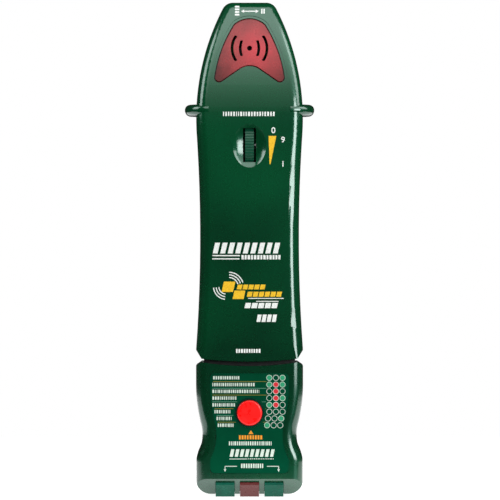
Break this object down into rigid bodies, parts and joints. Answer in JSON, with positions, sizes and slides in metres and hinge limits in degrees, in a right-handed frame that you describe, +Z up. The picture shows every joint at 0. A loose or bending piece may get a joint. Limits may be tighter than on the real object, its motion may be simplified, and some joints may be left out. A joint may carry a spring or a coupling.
{
  "type": "circuit breaker finder",
  "caption": "Handheld breaker finder: a green receiver wand with red lens, hand guards and thumbwheel, docked on its plug-in outlet-tester transmitter.",
  "frame": {"origin": "centre of the footprint, on the surface that the transmitter's windows stand on", "axes": "+Z up along the wand to its tip, -Y out of the front face with the lens and button, +X to the viewer's right"},
  "size_m": [0.0568, 0.038, 0.217],
  "materials": {
    "shell_green": "moulded plastic, fine satin texture",
    "label_green": "printed film",
    "green_lens": "translucent",
    "red_lens": "translucent",
    "black_plastic": "moulded",
    "blade_brass": "stamped and plated",
    "spring_steel": "plated",
    "board": "solder mask on laminate",
    "resistor_tan": "lacquered",
    "capacitor_yellow": "moulded box",
    "lamp_clear": "clear epoxy",
    "button_red": "moulded, glossy",
    "white_plastic": "moulded",
    "bezel_green": "moulded ring",
    "screw_steel": "zinc plated",
    "wheel_green": "knurled",
    "ferrite": "sintered",
    "copper_wire": "enamelled wire",
    "can_sleeve": "shrunk sleeve",
    "battery_jacket": "printed plastic sleeve",
    "lead_red": "insulated wire"
  },
  "bodies": {
    "transmitter": {"transmitter_front_shell": "shell_green", "transmitter_rear_shell": "shell_green", "wiring_chart_label": "label_green", "green_window_left": "green_lens", "red_window_middle": "red_lens", "green_window_right": "green_lens", "plug_base": "black_plastic", "neutral_blade": "blade_brass", "line_blade": "blade_brass", "ground_pin": "blade_brass", "ground_strap": "spring_steel", "transmitter_board": "board", "transmitter_chips": "black_plastic", "transmitter_resistors": "resistor_tan", "suppression_capacitor": "capacitor_yellow", "transmitter_leds": "lamp_clear", "button_switch": "black_plastic", "button_spring": "spring_steel", "button_bezel": "bezel_green", "transmitter_case_screws": "screw_steel", "transmitter_board_screws": "screw_steel"},
    "test_button": {"test_button": "button_red", "button_plunger": "white_plastic"},
    "receiver": {"receiver_front_shell": "shell_green", "receiver_rear_shell": "shell_green", "lens_window": "red_lens", "pot_body": "black_plastic", "receiver_board": "board", "buzzer": "black_plastic", "indicator_leds": "lamp_clear", "sensor_core": "ferrite", "sensor_bobbin": "white_plastic", "sensor_winding": "copper_wire", "receiver_capacitors": "can_sleeve", "receiver_chips": "black_plastic", "receiver_resistors": "resistor_tan", "dock_socket": "black_plastic", "battery_contacts": "spring_steel", "battery_leads": "lead_red", "receiver_case_screws": "screw_steel", "receiver_board_screws": "screw_steel"},
    "thumbwheel": {"thumbwheel": "wheel_green", "wheel_shaft": "spring_steel"},
    "battery": {"battery_case": "battery_jacket", "battery_terminals": "spring_steel"},
    "battery_door": {"battery_door": "shell_green"}
  },
  "joints": [
    {"name": "receiver_lift", "type": "slide", "parent": "transmitter", "child": "receiver", "axis": [0, 0, 1], "range_m": [0, 0.03]},
    {"name": "button_press", "type": "slide", "parent": "transmitter", "child": "test_button", "axis": [0, 1, 0], "range_m": [0, 0.0015], "stiffness_N_per_m": 800, "springref_m": -0.001, "deforming": ["button_spring"]},
    {"name": "wheel_turn", "type": "hinge", "parent": "receiver", "child": "thumbwheel", "pos_m": [0, -0.0074, 0.1539], "axis": [1, 0, 0], "range_deg": [0, 280]},
    {"name": "door_slide", "type": "slide", "parent": "receiver", "child": "battery_door", "axis": [0, 1, 0], "range_m": [0, 0.04]},
    {"name": "battery_slide", "type": "slide", "parent": "receiver", "child": "battery", "axis": [0, 1, 0], "range_m": [0, 0.024]}
  ],
  "couplings": [
    {"joint": "battery_slide", "follows": "door_slide", "ratio": 0.6}
  ]
}
